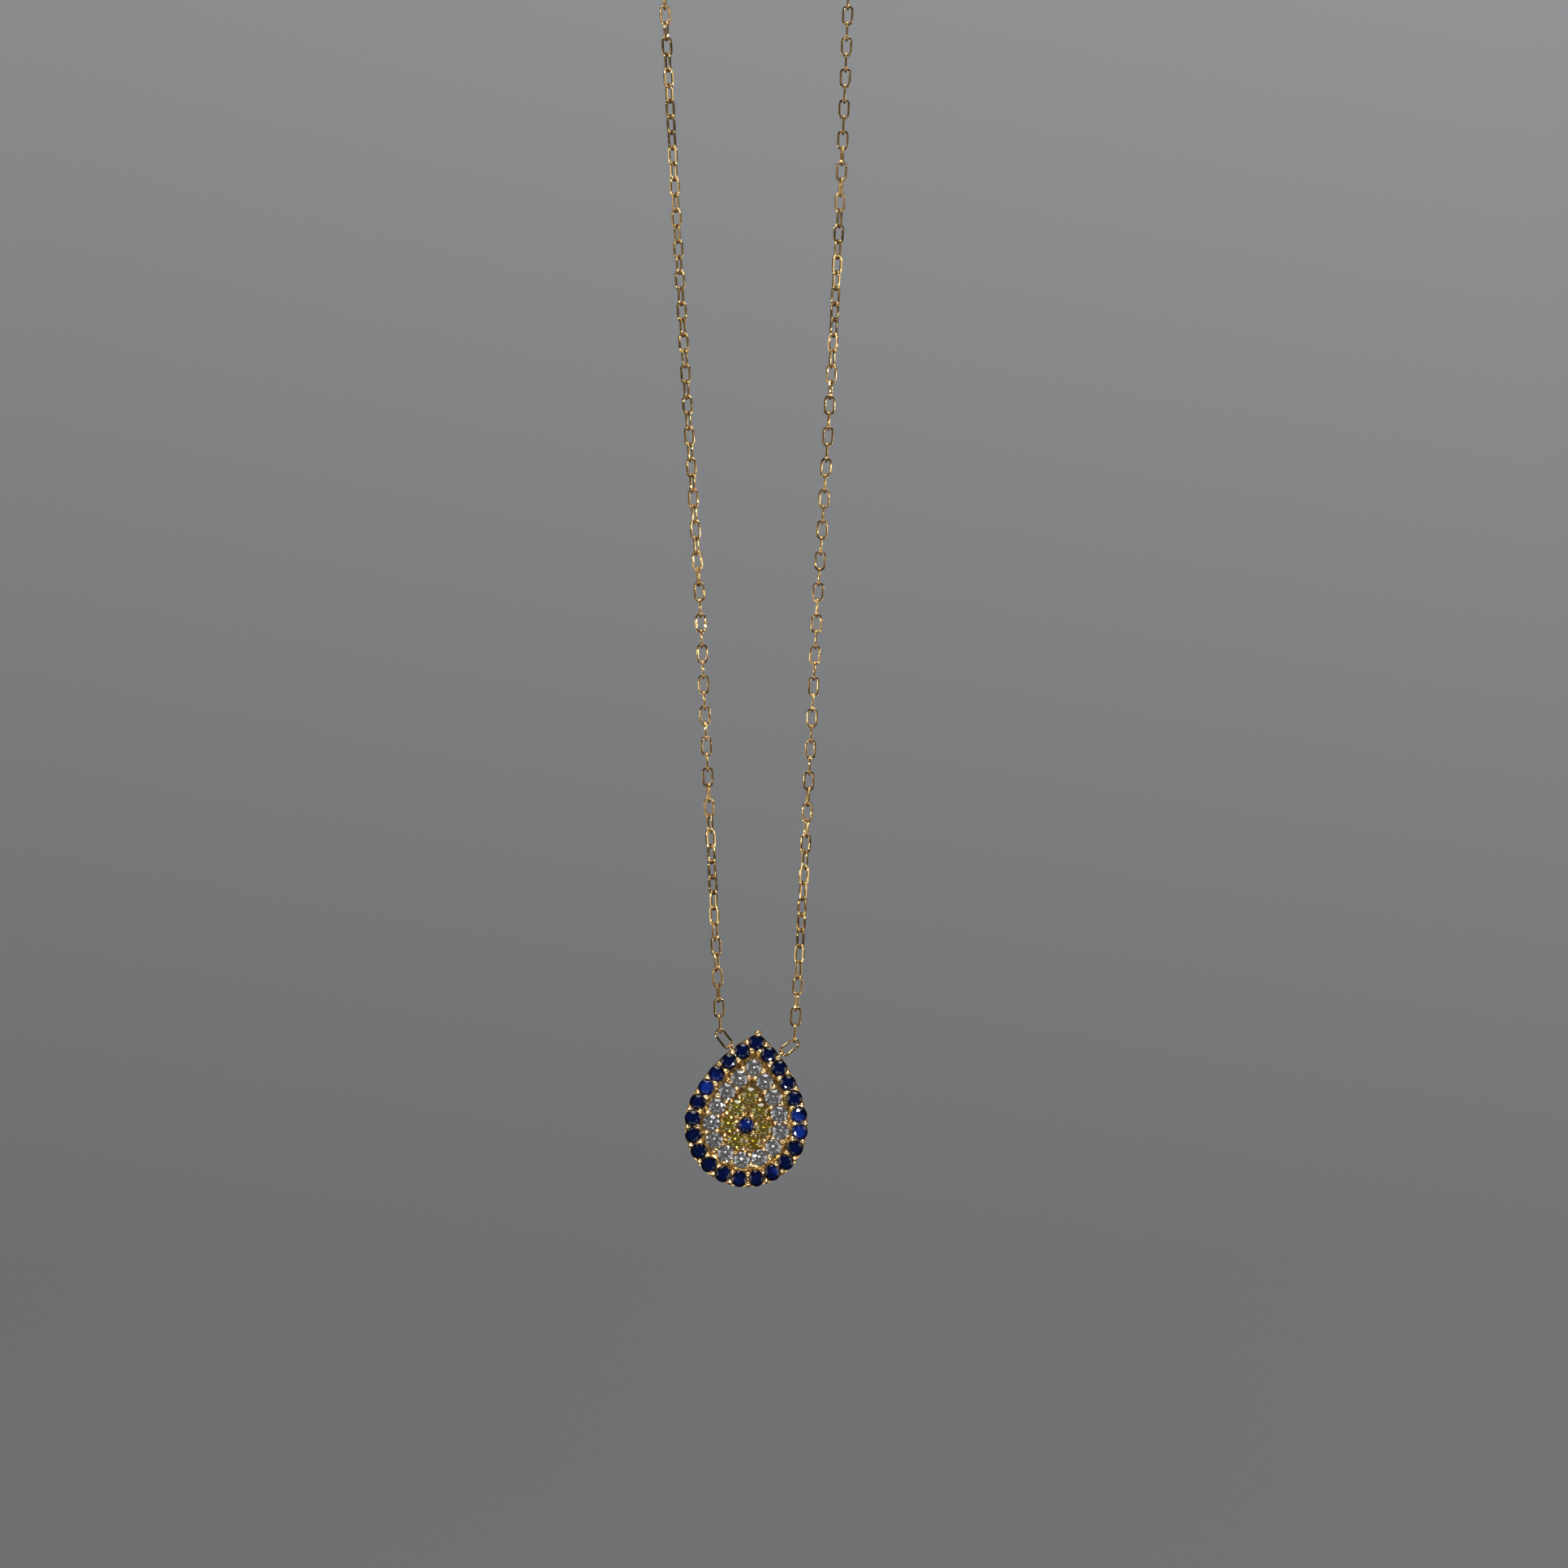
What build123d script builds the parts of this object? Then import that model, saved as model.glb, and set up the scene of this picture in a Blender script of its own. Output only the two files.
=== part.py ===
from build123d import *
import os
from math import acos, asin, atan2, cos, hypot, radians, sin, sqrt, tan

# A teardrop evil-eye pendant, pave set with round brilliants, on a fine cable chain.
# The chain hangs over a peg that is not part of the object, and its clasp lies on top of the peg.
# Millimetres. The origin is the peg's centre, +Z is up, +X is right, and -Y faces the front.

# ---- Peg and strands -------------------------------------------------------------------------
ARCH_RADIUS = 7.2            # chain centreline where it goes over the peg
MID_HINGE_Z = -49.2          # height where each strand's two lengths meet
LEFT_BOW = -0.12             # how far each strand's middle leans out from a straight line
RIGHT_BOW = 0.29
UPPER_BOW_SHARE = 0.75       # share of the lean that each length takes
LOWER_BOW_SHARE = 0.25
UPPER_LINKS = 41             # links in each strand's upper length
LOWER_LINKS = 28             # links in each lower length
LEFT_ARCH_LINKS = 6          # links between the jump ring and the left strand
RIGHT_ARCH_LINKS = 7         # links between the end ring and the right strand
MID_LEFT_X = -4.32           # where each strand passes the middle hinge's height
MID_RIGHT_X = 4.74

# Roll of the links about their strand, in degrees, on top of the quarter turn from link to link.
# Each pair is a height and the roll there. The roll is a whole number of quarter turns at a hinge.
LEFT_TWIST = (
    (0, 0), (-12.4, 45), (-17, 62), (-46, 68), (-49.2, 90), (-61.8, 92), (-69.3, 135), (-82.7, 180),
)
RIGHT_TWIST = (
    (0, 0), (-12.4, 0), (-27.4, 45), (-34.3, 84), (-49.2, 90), (-62, 92), (-74.3, 135), (-83.3, 180),
)

# ---- Links -----------------------------------------------------------------------------------
WIRE_RADIUS = 0.1
BOW_RADIUS = 0.35            # centreline radius of a link's round ends
LINK_INNER = 1.225           # a link's inner length
END_LINK_INNER = 1.4         # inner length of the link that joins a strand to the pendant
LINK_GAP = 0.01              # slack where the last link holds the end link

# ---- Pendant ---------------------------------------------------------------------------------
PENDANT_X = -0.75            # the centre stone's place
PENDANT_Z = -89.65
PENDANT_TILT = 7.3           # degrees clockwise, seen from the front
GIRDLE_Y = -0.62             # the centre stone's girdle
OUTLINE_RADIUS = 4.72        # the round bottom
OUTLINE_APEX = 7.14          # centre of the round bottom to the point
FLANK_START = 20             # degrees above level where the flanks leave the round bottom
TIP_RADIUS = 0.55
DOME_RADIUS = 45.0           # the stones' girdles lie on this sphere
PLATE_BACK = -1.25           # the flat back, measured from the centre girdle
PLATE_SINK = 0.12            # the metal lies this far under the girdles
BACK_FILLET = 0.2

# ---- Stones ----------------------------------------------------------------------------------
# Each ring of stones: circle radius, apex height, number of stones.
RIM_RING = (4.15, 6.42, 22)
WHITE_RING = (2.68, 4.47, 14)
YELLOW_RING = (1.36, 2.32, 7)
RIM_STONE_RADIUS = 0.63
WHITE_STONE_RADIUS = 0.65
YELLOW_STONE_RADIUS = 0.62
CENTRE_STONE_RADIUS = 0.6
TABLE_RATIO = 0.56           # table width over stone width
STAR_RATIO = 0.76            # where the star facets end
LOWER_RATIO = 0.3            # where the lower girdle facets end
CROWN_ANGLE = 34
PAVILION_ANGLE = 41
GIRDLE_THICKNESS = 0.03
SEAT_CLEARANCE = 0.012
HOLE_RATIO = 0.5             # drilled hole over stone width

# ---- Beads that hold the stones --------------------------------------------------------------
BEAD_RADIUS = 0.22
BEAD_ROOT = 0.4              # how far a bead's post goes down into the plate
OUTER_BEAD_OFFSET = 0.37
INNER_BEAD_OFFSET = 0.43
SMALL_BEAD_RADIUS = 0.18
TIP_BEAD_RADIUS = 0.24
CENTRE_BEAD_RADIUS = 0.8      # the ring of beads round the centre stone
CENTRE_BEAD_APEX = 1.0

# ---- Lugs ------------------------------------------------------------------------------------
LUG_ANGLE = 45.2             # degrees round the flank's own centre
LUG_RADIUS = 0.36
LUG_WIRE = 0.1
LUG_STANDOFF = 0.2           # the end link's wire stands this far off the plate's edge
LUG_GAP = 0.03

# ---- Clasp -----------------------------------------------------------------------------------
CLASP_Z = 7.25
CLASP_RADIUS = 2.15          # centreline of the ring
CLASP_TUBE = 0.6             # outer radius of the tube
CLASP_BORE = 0.42
CLASP_HALF_GAP = 25
TONGUE_RADIUS = 0.36
TONGUE_START = -31
TONGUE_END = 62
KNOB_ANGLE = 55
TRIGGER_TRAVEL = 50
SPRING_START = 115
SPRING_END = 165
CRIMP_ANGLE = 4
SPRING_OUTER = 0.34
SPRING_INNER = 0.22
KNOB_POST = 0.14
KNOB_BALL = 0.24
KNOB_REACH = 0.95            # ball's centre, out from the ring's centreline
SLOT_WIDTH = 0.36
SLOT_MARGIN = 6              # the slot runs this many degrees past the knob at both ends
CRIMP_CLEARANCE = 1          # degrees between the spring and the crimp it presses on
EYELET_RADIUS = 0.45
EYELET_WIRE = 0.14
JUMP_RADIUS = 0.74
JUMP_WIRE = 0.13
END_RING_RADIUS = 0.75
END_RING_WIRE = 0.14
RING_GAP = 0.02


# ---- Teardrop outlines -----------------------------------------------------------------------
def flank(radius, apex):
    """Radius and centre of the right flank, tangent to the round bottom and reaching the apex."""
    start = radians(FLANK_START)
    reach = (apex**2 - radius**2) / (2 * (radius - apex * sin(start)))
    return radius + reach, -reach * cos(start), -reach * sin(start)


def teardrop_face(radius, apex):
    """The teardrop as a face, with a rounded point."""
    start = radians(FLANK_START)
    side = (radius * cos(start), radius * sin(start))
    other = (-side[0], side[1])
    flank_radius, centre_x, centre_y = flank(radius, apex)
    middle = (radians(FLANK_START) + atan2(apex - centre_y, -centre_x)) / 2
    bulge = (centre_x + flank_radius * cos(middle), centre_y + flank_radius * sin(middle))
    bottom = ThreePointArc(side, (0, -radius), other)
    left = ThreePointArc(other, (-bulge[0], bulge[1]), (0, apex))
    right = ThreePointArc((0, apex), bulge, side)
    face = make_face([bottom, left, right])
    tip = face.vertices().sort_by(Axis.Y)[-1]
    return fillet(tip, TIP_RADIUS)


def teardrop_point(radius, apex, fraction, offset=0.0):
    """A point on the teardrop, a fraction of the way round clockwise from the apex, and moved
    outwards by offset."""
    start = radians(FLANK_START)
    flank_radius, centre_x, centre_y = flank(radius, apex)
    apex_angle = atan2(apex - centre_y, -centre_x)
    flank_length = flank_radius * (apex_angle - start)
    round_sweep = radians(180 + 2 * FLANK_START)
    total = 2 * flank_length + radius * round_sweep
    travel = (fraction % 1.0) * total
    mirrored = travel > total / 2
    if mirrored:
        travel = total - travel
    if travel < flank_length:
        angle = apex_angle - travel / flank_radius
        x = centre_x + (flank_radius + offset) * cos(angle)
        y = centre_y + (flank_radius + offset) * sin(angle)
    else:
        angle = start - (travel - flank_length) / radius
        x = (radius + offset) * cos(angle)
        y = (radius + offset) * sin(angle)
    return (-x, y) if mirrored else (x, y)


def ring_points(ring, phase=0.0, offset=0.0):
    """Evenly spaced points round a ring of stones, with the first at the apex when phase is 0."""
    radius, apex, count = ring
    return [teardrop_point(radius, apex, (i + phase) / count, offset) for i in range(count)]


def dome_place(point):
    """The place on the stones' sphere over a point, with its own +Z along the sphere's normal."""
    x, y = point
    height = sqrt(DOME_RADIUS**2 - x**2 - y**2)
    normal = Vector(x, y, height).normalized()
    return Plane(origin=(x, y, height - DOME_RADIUS), z_dir=normal).location


# ---- Stones ----------------------------------------------------------------------------------
def ring_of_points(radius, height, count, phase):
    step = 360 / count
    angles = [radians(phase + i * step) for i in range(count)]
    return [Vector(radius * cos(a), radius * sin(a), height) for a in angles]


def brilliant(radius):
    """A round brilliant: table, star, kite and girdle facets over a kite-cut pavilion."""
    half = GIRDLE_THICKNESS / 2
    crown_slope = radius * (1 - TABLE_RATIO) * tan(radians(CROWN_ANGLE))
    depth = radius * tan(radians(PAVILION_ANGLE))
    quarter = cos(radians(22.5))
    star_height = crown_slope * (1 - STAR_RATIO * quarter) / (1 - TABLE_RATIO)
    lower_height = depth * (1 - LOWER_RATIO * quarter)
    table = ring_of_points(TABLE_RATIO * radius, half + crown_slope, 8, 0)
    star = ring_of_points(STAR_RATIO * radius, half + star_height, 8, 22.5)
    top = ring_of_points(radius, half, 16, 0)
    bottom = ring_of_points(radius, -half, 16, 0)
    lower = ring_of_points(LOWER_RATIO * radius, -half - lower_height, 8, 22.5)
    culet = Vector(0, 0, -half - depth)
    facets = [table]
    for i in range(8):
        after = (i + 1) % 8
        before = (i - 1) % 8
        facets.append([table[i], star[i], table[after]])
        facets.append([table[i], star[before], top[2 * i], star[i]])
        facets.append([star[i], top[2 * i], top[2 * i + 1]])
        facets.append([star[i], top[2 * i + 1], top[(2 * i + 2) % 16]])
        facets.append([culet, lower[before], bottom[2 * i], lower[i]])
        facets.append([lower[i], bottom[2 * i], bottom[2 * i + 1]])
        facets.append([lower[i], bottom[2 * i + 1], bottom[(2 * i + 2) % 16]])
    for i in range(16):
        after = (i + 1) % 16
        facets.append([top[i], top[after], bottom[after], bottom[i]])
    faces = [Face(Wire.make_polygon(corners, close=True)) for corners in facets]
    return Solid(Shell(faces))


def seat_cutter(radius):
    """The room a stone needs, with the drilled hole under it."""
    half = GIRDLE_THICKNESS / 2 + SEAT_CLEARANCE
    crown = radius * (1 - TABLE_RATIO) * tan(radians(CROWN_ANGLE))
    hole = radius * HOLE_RATIO
    girdle = radius + SEAT_CLEARANCE
    hole_top = -half - (girdle - hole) * tan(radians(PAVILION_ANGLE))
    profile = Polyline(
        (0, half + crown),
        (radius * TABLE_RATIO + SEAT_CLEARANCE, half + crown),
        (girdle, half),
        (girdle, -half),
        (hole, hole_top),
        (hole, 2 * PLATE_BACK),
        (0, 2 * PLATE_BACK),
        close=True,
    )
    return revolve(Plane.XZ * make_face(profile), axis=Axis.Z)


def stone_table():
    """Every ring's name, stone radius and points."""
    return (
        ("rim_stones_blue", RIM_STONE_RADIUS, ring_points(RIM_RING)),
        ("ring_stones_white", WHITE_STONE_RADIUS, ring_points(WHITE_RING)),
        ("ring_stones_yellow", YELLOW_STONE_RADIUS, ring_points(YELLOW_RING)),
        ("centre_stone_blue", CENTRE_STONE_RADIUS, [(0, 0)]),
    )


# ---- Setting plate ---------------------------------------------------------------------------
def bead(radius):
    """A round-topped post."""
    profile = Sketch() + Rectangle(radius, BEAD_ROOT, align=(Align.MIN, Align.MAX))
    profile += Circle(radius) & Rectangle(radius, radius, align=(Align.MIN, Align.MIN))
    return revolve(Plane.XZ * profile, axis=Axis.Z)


def bead_places():
    """Where the beads stand: outside and inside the rim stones, round the white stones, round the
    yellow stones, and round the centre stone."""
    centre_ring = (CENTRE_BEAD_RADIUS, CENTRE_BEAD_APEX, YELLOW_RING[2])
    large = ring_points(RIM_RING, 0.5, OUTER_BEAD_OFFSET)
    large += ring_points(RIM_RING, 0.5, -INNER_BEAD_OFFSET)
    large += ring_points(WHITE_RING, 0.5, INNER_BEAD_OFFSET)
    small = ring_points(WHITE_RING, 0.5, -INNER_BEAD_OFFSET)
    small += ring_points(YELLOW_RING, 0.5, INNER_BEAD_OFFSET)
    small += ring_points(centre_ring, 0.5)
    return large, small


def plate_blank():
    """The teardrop casting before the beads and seats: flat back, domed front."""
    face = teardrop_face(OUTLINE_RADIUS, OUTLINE_APEX)
    blank = extrude(Pos(0, 0, PLATE_BACK) * face, -PLATE_BACK)
    blank = fillet(blank.faces().sort_by(Axis.Z)[0].edges(), BACK_FILLET)
    dome = Pos(0, 0, -DOME_RADIUS) * Sphere(DOME_RADIUS - PLATE_SINK)
    return blank & dome


def setting_plate(blank):
    large, small = bead_places()
    posts = [dome_place(p) * bead(BEAD_RADIUS) for p in large]
    posts += [dome_place(p) * bead(SMALL_BEAD_RADIUS) for p in small]
    tip = (0, OUTLINE_APEX - TIP_BEAD_RADIUS / 4)
    posts.append(dome_place(tip) * bead(TIP_BEAD_RADIUS))
    plate = blank + posts
    cutters = []
    for name, radius, points in stone_table():
        cutter = seat_cutter(radius)
        cutters += [dome_place(p) * cutter for p in points]
    return plate - cutters


def pendant_frame():
    """Carries the pendant's own XY drawing plane, facing +Z, into the hanging place."""
    tilt = radians(PENDANT_TILT)
    right = Vector(cos(tilt), 0, -sin(tilt))
    return Plane(origin=(PENDANT_X, GIRDLE_Y, PENDANT_Z), x_dir=right, z_dir=(0, -1, 0)).location


def lug_wire_place(side):
    """Where an end link's wire runs through its lug, and the outward direction there."""
    flank_radius, centre_x, centre_y = flank(OUTLINE_RADIUS, OUTLINE_APEX)
    angle = radians(LUG_ANGLE)
    reach = flank_radius + LUG_STANDOFF
    local = (side * (centre_x + reach * cos(angle)), centre_y + reach * sin(angle), GIRDLE_Y)
    outward = (side * cos(angle), sin(angle), 0)
    frame = pendant_frame()
    start = (frame * Pos(*local)).position
    end = (frame * Pos(*[a + b for a, b in zip(local, outward)])).position
    return start, end - start


def lug(side, blank):
    """A ring soldered to the plate's edge, in the plane of the outward direction and Y."""
    wire_place, outward = lug_wire_place(side)
    centre = wire_place - outward * (LUG_RADIUS - LUG_WIRE - WIRE_RADIUS - LUG_GAP)
    across = outward.cross(Vector(0, 1, 0))
    ring = Plane(origin=centre, x_dir=outward, z_dir=across).location * Torus(LUG_RADIUS, LUG_WIRE)
    return ring - blank


# ---- Links -----------------------------------------------------------------------------------
def link(inner_length):
    """A straight-sided link in the XY plane, long way along Y, centred on the origin."""
    straight = inner_length + 2 * WIRE_RADIUS - 2 * BOW_RADIUS
    half = straight / 2
    section = Plane.XZ * Pos(BOW_RADIUS, 0) * Circle(WIRE_RADIUS)
    leg = extrude(section, straight / 2, both=True)
    bow = revolve(section, axis=Axis.Z, revolution_arc=180)
    legs = [leg, Rot(0, 0, 180) * leg]
    bows = [Pos(0, half, 0) * bow, Pos(0, -half, 0) * Rot(0, 0, 180) * bow]
    return legs[0] + legs[1] + bows[0] + bows[1]


def link_place(start, end, roll):
    """Puts a link between two points. At no roll it lies in the XZ plane."""
    along = (start - end).normalized()
    face_on = Vector(0, -1, 0)
    sideways = along.cross(face_on).normalized()
    normal = face_on.rotate(Axis((0, 0, 0), along), roll)
    x_dir = sideways.rotate(Axis((0, 0, 0), along), roll)
    return Plane(origin=(start + end) * 0.5, x_dir=x_dir, z_dir=normal).location


def roll_at(height, twist):
    """The extra roll at a height, by straight lines between the listed heights."""
    for (high, roll_high), (low, roll_low) in zip(twist, twist[1:]):
        if height >= low:
            return roll_high + (roll_low - roll_high) * (high - height) / (high - low)
    return twist[-1][1]


def run_of_links(contacts, rolls):
    """One link between each contact and the next."""
    shape = link(LINK_INNER)
    for start, end in zip(contacts, contacts[1:]):
        assert (end - start).length < LINK_INNER, "a link is shorter than its pitch"
    return [link_place(a, b, roll) * shape for a, b, roll in zip(contacts, contacts[1:], rolls)]


# ---- Strands ---------------------------------------------------------------------------------
def strand_contacts(top, bottom, bow, count):
    """Evenly spaced contacts from top to bottom along a line that leans out by bow in its middle."""
    points = []
    for i in range(count + 1):
        t = i / count
        point = top + (bottom - top) * t
        points.append(Vector(point.X + 4 * bow * t * (1 - t), 0, point.Z))
    return points


def strand_links(contacts, twist):
    """The first link is edge-on, and each next one turns by a quarter and the twist."""
    first_roll = roll_at(contacts[0].Z, twist)
    rolls = []
    for i, (start, end) in enumerate(zip(contacts, contacts[1:])):
        middle = (start.Z + end.Z) / 2
        rolls.append(roll_at(middle, twist) - first_roll + 90 * (i + 1))
    return run_of_links(contacts, rolls)


def end_link_ends(side, hinge):
    """The end link's two contacts, and where the strand's last link holds it."""
    wire_place, outward = lug_wire_place(side)
    low = wire_place + outward * WIRE_RADIUS
    high = low + outward * END_LINK_INNER
    bow_centre = high + outward * (WIRE_RADIUS - BOW_RADIUS)
    pull = (hinge - bow_centre).normalized()
    inside = BOW_RADIUS - 2 * WIRE_RADIUS - LINK_GAP
    last_contact = bow_centre + pull * (inside + WIRE_RADIUS)
    return low, high, last_contact


# ---- Clasp and arch --------------------------------------------------------------------------
def clasp_arc(shape, start, end):
    """Turns a flat shape, drawn round the tube's own centre, from start to end degrees."""
    profile = Plane.XZ * Pos(CLASP_RADIUS, 0) * shape
    return Rot(0, 0, start) * revolve(profile, axis=Axis.Z, revolution_arc=end - start)


def clasp_parts():
    """Housing tube with a slot for the knob, the sliding tongue, its spring, and the eyelet."""
    tube = Circle(CLASP_TUBE) - Circle(CLASP_BORE)
    housing = clasp_arc(tube, CLASP_HALF_GAP, 360 - CLASP_HALF_GAP)
    crimp_start = SPRING_END + CRIMP_CLEARANCE
    housing += clasp_arc(Circle(CLASP_BORE), crimp_start, crimp_start + CRIMP_ANGLE)
    slot_shape = Pos(CLASP_TUBE, 0) * Rectangle(CLASP_TUBE, SLOT_WIDTH)
    slot_end = KNOB_ANGLE + TRIGGER_TRAVEL + SLOT_MARGIN
    housing -= clasp_arc(slot_shape, KNOB_ANGLE - SLOT_MARGIN, slot_end)

    trigger = clasp_arc(Circle(TONGUE_RADIUS), TONGUE_START, TONGUE_END)
    post = Pos(CLASP_RADIUS, 0, 0) * Rot(0, 90, 0) * Cylinder(
        KNOB_POST, KNOB_REACH, align=(Align.CENTER, Align.CENTER, Align.MIN))
    ball = Pos(CLASP_RADIUS + KNOB_REACH, 0, 0) * Sphere(KNOB_BALL)
    trigger += Rot(0, 0, KNOB_ANGLE) * (post + ball)

    spring = clasp_arc(Circle(SPRING_OUTER) - Circle(SPRING_INNER), SPRING_START, SPRING_END)

    eyelet_x = -(CLASP_RADIUS + CLASP_TUBE + EYELET_RADIUS - EYELET_WIRE)
    eyelet = Pos(eyelet_x, 0, 0) * Torus(EYELET_RADIUS, EYELET_WIRE)
    eyelet -= Torus(CLASP_RADIUS, CLASP_TUBE)

    lift = Pos(0, 0, CLASP_Z)
    return {
        "clasp_housing": lift * housing,
        "clasp_trigger": lift * trigger,
        "clasp_spring": lift * spring,
        "clasp_eyelet": lift * eyelet,
    }


def tangent_to_arch(point, side):
    """Unit direction from a point to where a taut chain meets the arch on the given side."""
    distance = hypot(point.X, point.Z)
    inward = atan2(-point.Z, -point.X)
    angle = inward + side * asin(ARCH_RADIUS / distance)
    return Vector(cos(angle), 0, sin(angle)), sqrt(distance**2 - ARCH_RADIUS**2)


def arch_contacts(ring_end, direction, run, side, count):
    """Contacts from a ring, along the tangent, then down the arch to the strand's top."""
    touch = ring_end + direction * run
    touch_angle = acos(abs(touch.X) / ARCH_RADIUS)
    total = run + ARCH_RADIUS * touch_angle
    points = []
    for i in range(count + 1):
        travel = total * i / count
        if travel < run:
            points.append(ring_end + direction * travel)
        else:
            angle = touch_angle - (travel - run) / ARCH_RADIUS
            points.append(Vector(side * ARCH_RADIUS * cos(angle), 0, ARCH_RADIUS * sin(angle)))
    return points


def ring_and_arch(pivot, pivot_radius, radius, wire, side, count, turn):
    """A ring round a bar at pivot, and the links from that ring down to the strand's top."""
    direction, reach = tangent_to_arch(pivot, side)
    centre = pivot + direction * (radius - wire - pivot_radius - RING_GAP)
    ring = Plane(origin=centre, x_dir=direction, z_dir=(0, 1, 0)).location * Torus(radius, wire)
    ring_end = centre + direction * (radius - wire)
    run = reach - (ring_end - pivot).length
    contacts = arch_contacts(ring_end, direction, run, side, count)
    rolls = [90 * (i + 1) + turn * i / (count - 1) for i in range(count)]
    return ring, contacts, rolls


# ---- Assembly --------------------------------------------------------------------------------
def strand_nodes(name, side, twist, bow, mid_x):
    """One side's end link and its two lengths of chain."""
    top = Vector(side * ARCH_RADIUS, 0, 0)
    hinge = Vector(mid_x, 0, MID_HINGE_Z)
    low, high, last = end_link_ends(side, hinge)
    upper = strand_contacts(top, hinge, UPPER_BOW_SHARE * bow, UPPER_LINKS)
    lower = strand_contacts(hinge, last, LOWER_BOW_SHARE * bow, LOWER_LINKS)
    return {
        f"{name}_chain_upper": strand_links(upper, twist),
        f"{name}_chain_lower": strand_links(lower, twist),
        f"{name}_end_link": link_place(high, low, 0) * link(END_LINK_INNER),
    }


def pendant_nodes():
    frame = pendant_frame()
    blank = plate_blank()
    nodes = {"setting_plate": frame * setting_plate(blank)}
    for name, radius, points in stone_table():
        stone = brilliant(radius)
        nodes[name] = [frame * dome_place(p) * stone for p in points]
    nodes["left_lug"] = lug(-1, frame * blank)
    nodes["right_lug"] = lug(1, frame * blank)
    return nodes


def top_nodes():
    """The clasp on top of the peg, its rings, and the chain on both sides of it."""
    nodes = clasp_parts()
    eyelet_bar = Vector(-(CLASP_RADIUS + CLASP_TUBE + 2 * (EYELET_RADIUS - EYELET_WIRE / 2)), 0, CLASP_Z)
    ring, contacts, rolls = ring_and_arch(
        eyelet_bar, EYELET_WIRE, JUMP_RADIUS, JUMP_WIRE, -1, LEFT_ARCH_LINKS, 0)
    nodes["jump_ring"] = ring
    nodes["left_chain_top"] = run_of_links(contacts, rolls)
    tongue = Vector(CLASP_RADIUS, 0, CLASP_Z)
    ring, contacts, rolls = ring_and_arch(
        tongue, TONGUE_RADIUS, END_RING_RADIUS, END_RING_WIRE, 1, RIGHT_ARCH_LINKS, 90)
    nodes["end_ring"] = ring
    nodes["right_chain_top"] = run_of_links(contacts, rolls)
    return nodes


def save(name, shapes):
    solids = shapes if isinstance(shapes, list) else [shapes]
    solids = [solid for shape in solids for solid in shape.solids()]
    export_step(Compound(children=solids, label=name), os.path.join("parts", name + ".step"))


def main():
    os.makedirs("parts", exist_ok=True)
    nodes = pendant_nodes()
    nodes.update(strand_nodes("left", -1, LEFT_TWIST, LEFT_BOW, MID_LEFT_X))
    nodes.update(strand_nodes("right", 1, RIGHT_TWIST, RIGHT_BOW, MID_RIGHT_X))
    nodes.update(top_nodes())
    for name, shapes in nodes.items():
        save(name, shapes)


main()
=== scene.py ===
import random
from math import acos, asin, atan2, cos, hypot, pi, radians, sin, sqrt

import bpy
from mathutils import Matrix, Vector


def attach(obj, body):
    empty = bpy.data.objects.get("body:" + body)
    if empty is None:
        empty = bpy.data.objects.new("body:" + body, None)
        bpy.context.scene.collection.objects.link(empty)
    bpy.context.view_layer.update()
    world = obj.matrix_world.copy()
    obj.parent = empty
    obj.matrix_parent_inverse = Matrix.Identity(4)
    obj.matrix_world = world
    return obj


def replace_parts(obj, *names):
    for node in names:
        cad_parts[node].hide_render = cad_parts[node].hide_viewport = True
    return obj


# Looks for the evil-eye pendant necklace. Lengths are in metres; MM turns millimetres into metres.
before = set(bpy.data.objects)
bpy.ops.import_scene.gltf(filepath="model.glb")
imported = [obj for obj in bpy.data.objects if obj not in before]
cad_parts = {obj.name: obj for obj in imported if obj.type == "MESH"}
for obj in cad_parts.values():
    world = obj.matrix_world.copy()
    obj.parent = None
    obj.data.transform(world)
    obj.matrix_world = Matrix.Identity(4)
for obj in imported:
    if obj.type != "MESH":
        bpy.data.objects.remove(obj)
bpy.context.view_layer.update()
MM = 0.001

# ---- Camera ----------------------------------------------------------------------------------
VIEW_WIDTH = 120.75 * MM     # width of the picture in the strands' plane
VIEW_X = 2.16 * MM
VIEW_Z = -63.38 * MM
LENS = 100                   # millimetres, as is the sensor
SENSOR = 36
NEAREST = 0.01               # the camera sees nothing nearer than this

# ---- Chain -----------------------------------------------------------------------------------
WIRE = 0.1 * MM              # a link's wire, from its centre to its corners
BOW = 0.35 * MM              # centreline radius of a link's round ends
LINK_INNER = 1.225 * MM
END_LINK_INNER = 1.4 * MM
BOW_STEPS = 14
FLAT_HALF_ANGLE = 24         # half the angle that each cut facet takes of the wire
CORNER_STEPS = 3             # faces that round each corner between two cut facets
ROUTE_STEPS = 64             # how finely a route's curve is cut into points

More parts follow.
